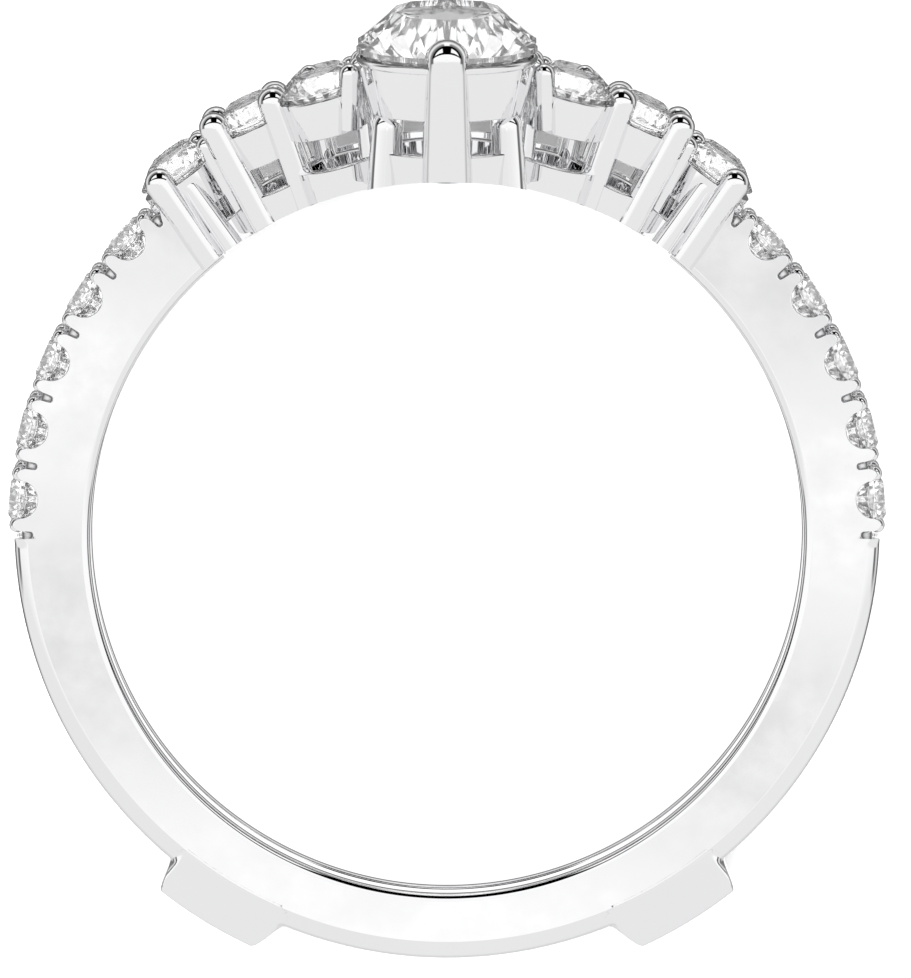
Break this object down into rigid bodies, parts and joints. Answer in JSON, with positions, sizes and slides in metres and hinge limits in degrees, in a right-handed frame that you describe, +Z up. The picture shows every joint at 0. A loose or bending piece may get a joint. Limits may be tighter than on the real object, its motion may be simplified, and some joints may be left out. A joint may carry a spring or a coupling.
{
  "type": "ring guard enhancer",
  "caption": "Ring guard of mirrored bands joined by bridges, with gem-set heads that flare apart to frame a separate engagement ring.",
  "frame": {"origin": "centre of the finger hole, on its axis and midway between the bands", "axes": "+Z up in the pose in which the ring lies on its side, +Y towards the gem-set head, +X to the right as seen from above with the head at the top"},
  "size_m": [0.0212, 0.0243, 0.0157],
  "materials": {
    "white_gold": "polished",
    "diamond": "polished facets"
  },
  "bodies": {
    "root": {"mounting": "white_gold", "centre_stone_front": "diamond", "centre_stone_back": "diamond", "side_stone_front_left_1": "diamond", "side_stone_front_left_2": "diamond", "side_stone_front_left_3": "diamond", "shank_stone_front_left_1": "diamond", "shank_stone_front_left_2": "diamond", "shank_stone_front_left_3": "diamond", "shank_stone_front_left_4": "diamond", "shank_stone_front_left_5": "diamond", "side_stone_front_right_1": "diamond", "side_stone_front_right_2": "diamond", "side_stone_front_right_3": "diamond", "shank_stone_front_right_1": "diamond", "shank_stone_front_right_2": "diamond", "shank_stone_front_right_3": "diamond", "shank_stone_front_right_4": "diamond", "shank_stone_front_right_5": "diamond", "side_stone_back_left_1": "diamond", "side_stone_back_left_2": "diamond", "side_stone_back_left_3": "diamond", "shank_stone_back_left_1": "diamond", "shank_stone_back_left_2": "diamond", "shank_stone_back_left_3": "diamond", "shank_stone_back_left_4": "diamond", "shank_stone_back_left_5": "diamond", "side_stone_back_right_1": "diamond", "side_stone_back_right_2": "diamond", "side_stone_back_right_3": "diamond", "shank_stone_back_right_1": "diamond", "shank_stone_back_right_2": "diamond", "shank_stone_back_right_3": "diamond", "shank_stone_back_right_4": "diamond", "shank_stone_back_right_5": "diamond"}
  },
  "joints": []
}
